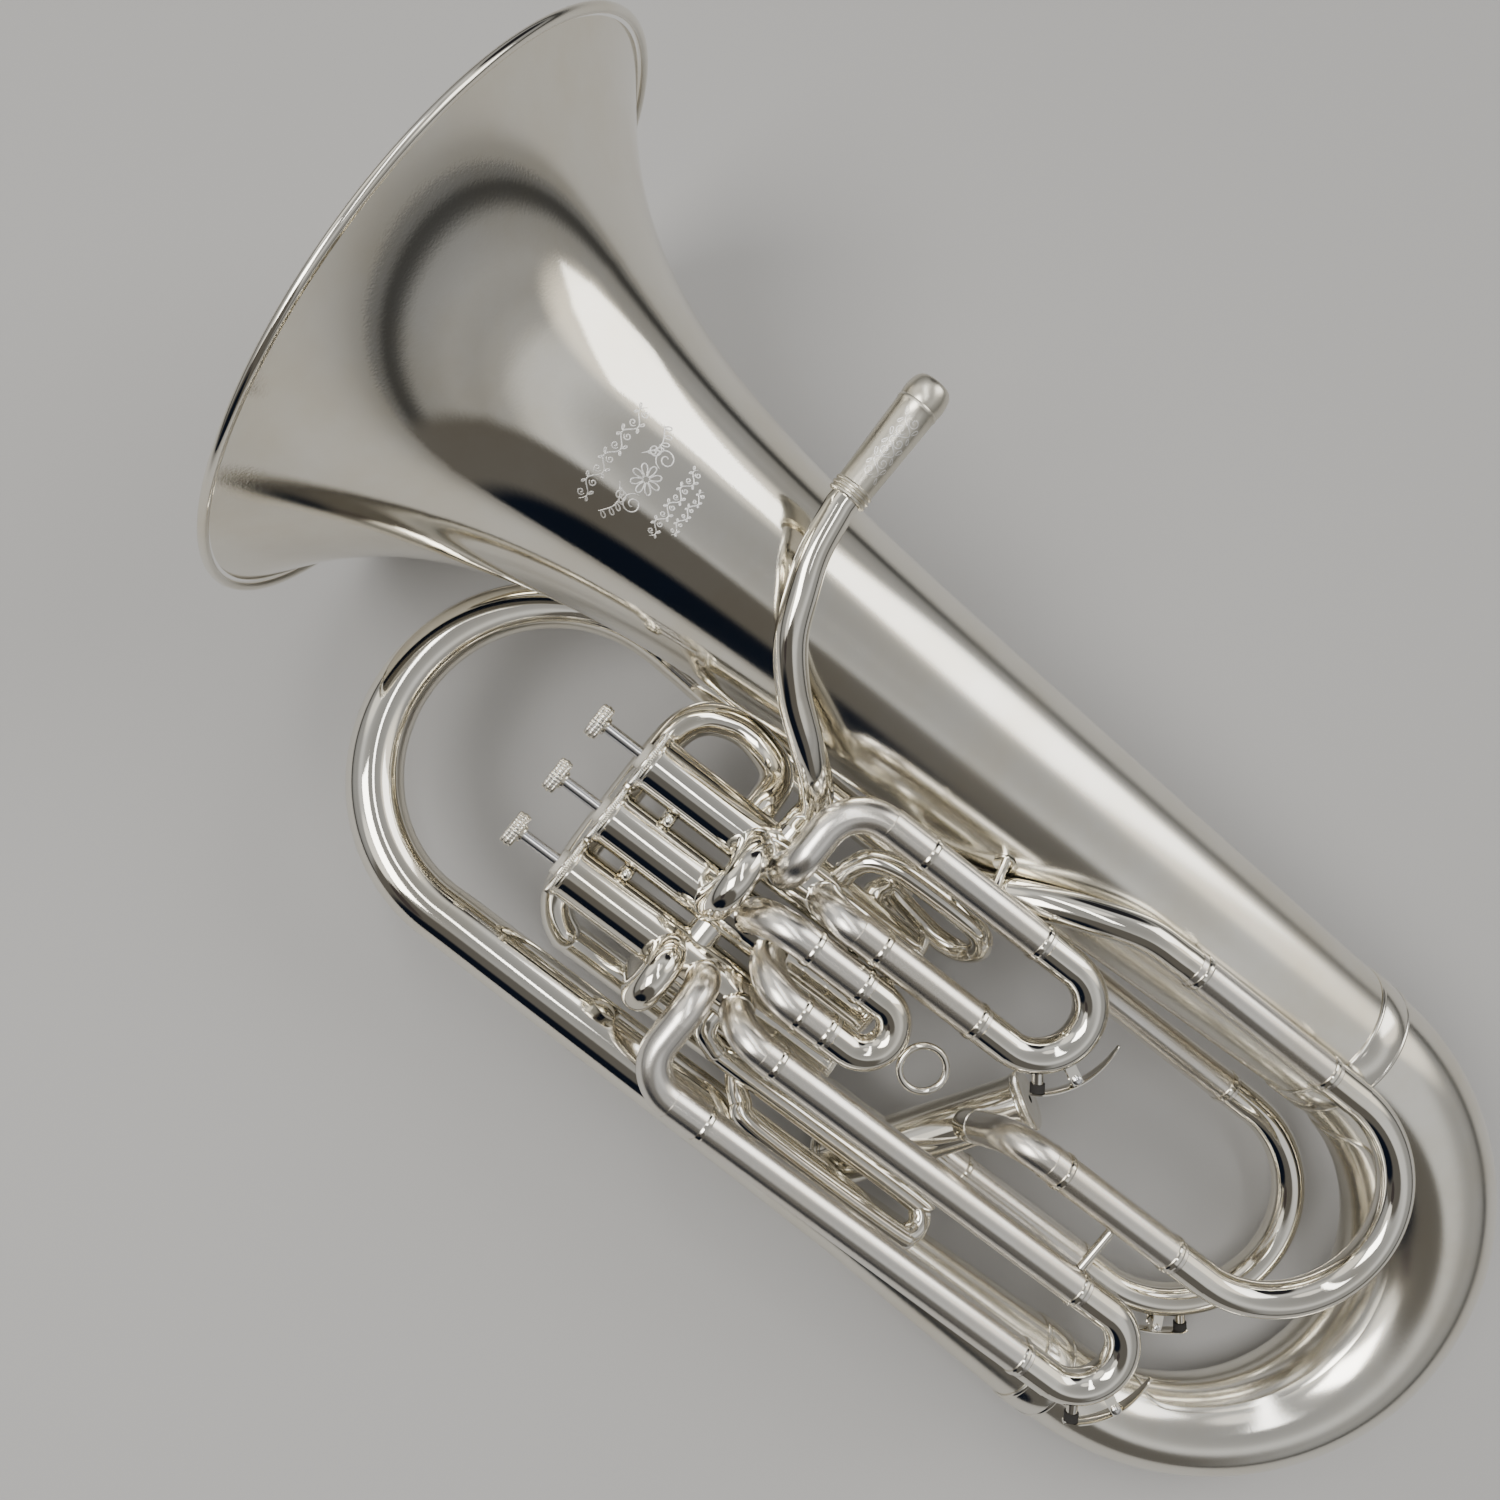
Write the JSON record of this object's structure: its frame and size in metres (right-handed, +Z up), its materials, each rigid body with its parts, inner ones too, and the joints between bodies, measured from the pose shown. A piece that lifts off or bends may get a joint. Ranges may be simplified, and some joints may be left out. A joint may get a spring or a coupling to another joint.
{
  "type": "four-valve compensating tenor tuba",
  "caption": "Upright valved brass horn with a wide flared bell, bent conical tube, piston valves, tuning slides, water keys and mouthpiece receiver.",
  "frame": {"origin": "on the floor, under the middle of the bounding box of the horn as it lies on its back", "axes": "+Y towards the bell mouth, +Z up from the floor, +X towards the side the mouthpiece receiver points to; the horn lies at rest on its bell rim and bottom bow"},
  "size_m": [0.3941, 0.716, 0.3024],
  "materials": {
    "bright_silver": "silver plated brass, mirror polished",
    "satin_silver": "silver plated brass, satin",
    "piston_metal": "lapped nickel alloy",
    "steel": "turned and drawn steel",
    "cork": "black pad",
    "felt": "pressed felt"
  },
  "bodies": {
    "instrument": {"bell": "bright_silver", "bell_rim_bead": "bright_silver", "bow_ferrules": "bright_silver", "bottom_bow": "bright_silver", "bow_guard": "satin_silver", "outer_branch": "bright_silver", "top_crook": "bright_silver", "main_tube": "bright_silver", "tube_ferrules": "bright_silver", "leadpipe": "bright_silver", "mouthpiece_receiver": "bright_silver", "valve_casing_1": "bright_silver", "valve_casing_2": "bright_silver", "valve_casing_3": "bright_silver", "valve_casing_4": "bright_silver", "valve_top_caps": "bright_silver", "valve_bottom_caps": "bright_silver", "valve_cap_felts": "felt", "valve_spring_1": "steel", "valve_spring_2": "steel", "valve_spring_3": "steel", "valve_spring_4": "steel", "valve_crossovers": "bright_silver", "main_slide_legs": "satin_silver", "first_slide_legs": "satin_silver", "second_slide_legs": "satin_silver", "third_slide_legs": "satin_silver", "fourth_slide_legs": "satin_silver", "compensating_loops": "bright_silver", "fourth_return_tube": "bright_silver", "braces": "bright_silver"},
    "first_slide": {"first_slide_bow": "bright_silver", "first_key_saddle": "bright_silver"},
    "second_slide": {"second_slide_bow": "bright_silver", "second_slide_ring": "bright_silver"},
    "third_slide": {"third_slide_bow": "bright_silver", "third_key_saddle": "bright_silver"},
    "fourth_slide": {"fourth_slide_bow": "bright_silver", "fourth_key_saddle": "bright_silver"},
    "main_slide": {"main_slide_bow": "bright_silver"},
    "first_key": {"first_key_lever": "bright_silver", "first_key_cork": "cork"},
    "third_key": {"third_key_lever": "bright_silver", "third_key_cork": "cork"},
    "fourth_key": {"fourth_key_lever": "bright_silver", "fourth_key_cork": "cork"},
    "valve_1": {"piston_1": "piston_metal", "valve_stem_1": "steel", "finger_button_1": "bright_silver"},
    "valve_2": {"piston_2": "piston_metal", "valve_stem_2": "steel", "finger_button_2": "bright_silver"},
    "valve_3": {"piston_3": "piston_metal", "valve_stem_3": "steel", "finger_button_3": "bright_silver"},
    "valve_4": {"piston_4": "piston_metal", "valve_stem_4": "steel", "finger_button_4": "bright_silver"}
  },
  "joints": [
    {"name": "valve_1_press", "type": "slide", "parent": "instrument", "child": "valve_1", "axis": [0, -0.9921, -0.1256], "range_m": [0, 0.018], "deforming": ["valve_spring_1"]},
    {"name": "valve_2_press", "type": "slide", "parent": "instrument", "child": "valve_2", "axis": [0, -0.9921, -0.1256], "range_m": [0, 0.018], "deforming": ["valve_spring_2"]},
    {"name": "valve_3_press", "type": "slide", "parent": "instrument", "child": "valve_3", "axis": [0, -0.9921, -0.1256], "range_m": [0, 0.018], "deforming": ["valve_spring_3"]},
    {"name": "valve_4_press", "type": "slide", "parent": "instrument", "child": "valve_4", "axis": [0.758, -0.4619, 0.4606], "range_m": [0, 0.01], "deforming": ["valve_spring_4"]},
    {"name": "first_slide_pull", "type": "slide", "parent": "instrument", "child": "first_slide", "axis": [0, -0.9921, -0.1256], "range_m": [0, 0.04]},
    {"name": "second_slide_pull", "type": "slide", "parent": "instrument", "child": "second_slide", "axis": [0, -0.9921, -0.1256], "range_m": [0, 0.012]},
    {"name": "third_slide_pull", "type": "slide", "parent": "instrument", "child": "third_slide", "axis": [0, -0.9921, -0.1256], "range_m": [0, 0.06]},
    {"name": "fourth_slide_pull", "type": "slide", "parent": "instrument", "child": "fourth_slide", "axis": [0, -0.9921, -0.1256], "range_m": [0, 0.016]},
    {"name": "main_slide_pull", "type": "slide", "parent": "instrument", "child": "main_slide", "axis": [0, -0.9921, -0.1256], "range_m": [0, 0.05]},
    {"name": "first_water_key", "type": "hinge", "parent": "first_slide", "child": "first_key", "pos_m": [-0.05387, -0.0982, 0.1233], "axis": [-0.2419, -0.1219, 0.9626], "range_deg": [0, 12]},
    {"name": "third_water_key", "type": "hinge", "parent": "third_slide", "child": "third_key", "pos_m": [-0.16237, -0.21201, 0.08162], "axis": [-0.2419, -0.1219, 0.9626], "range_deg": [0, 12]},
    {"name": "fourth_water_key", "type": "hinge", "parent": "fourth_slide", "child": "fourth_key", "pos_m": [-0.12097, -0.24216, 0.01653], "axis": [0.2419, 0.1219, -0.9626], "range_deg": [0, 10]}
  ]
}
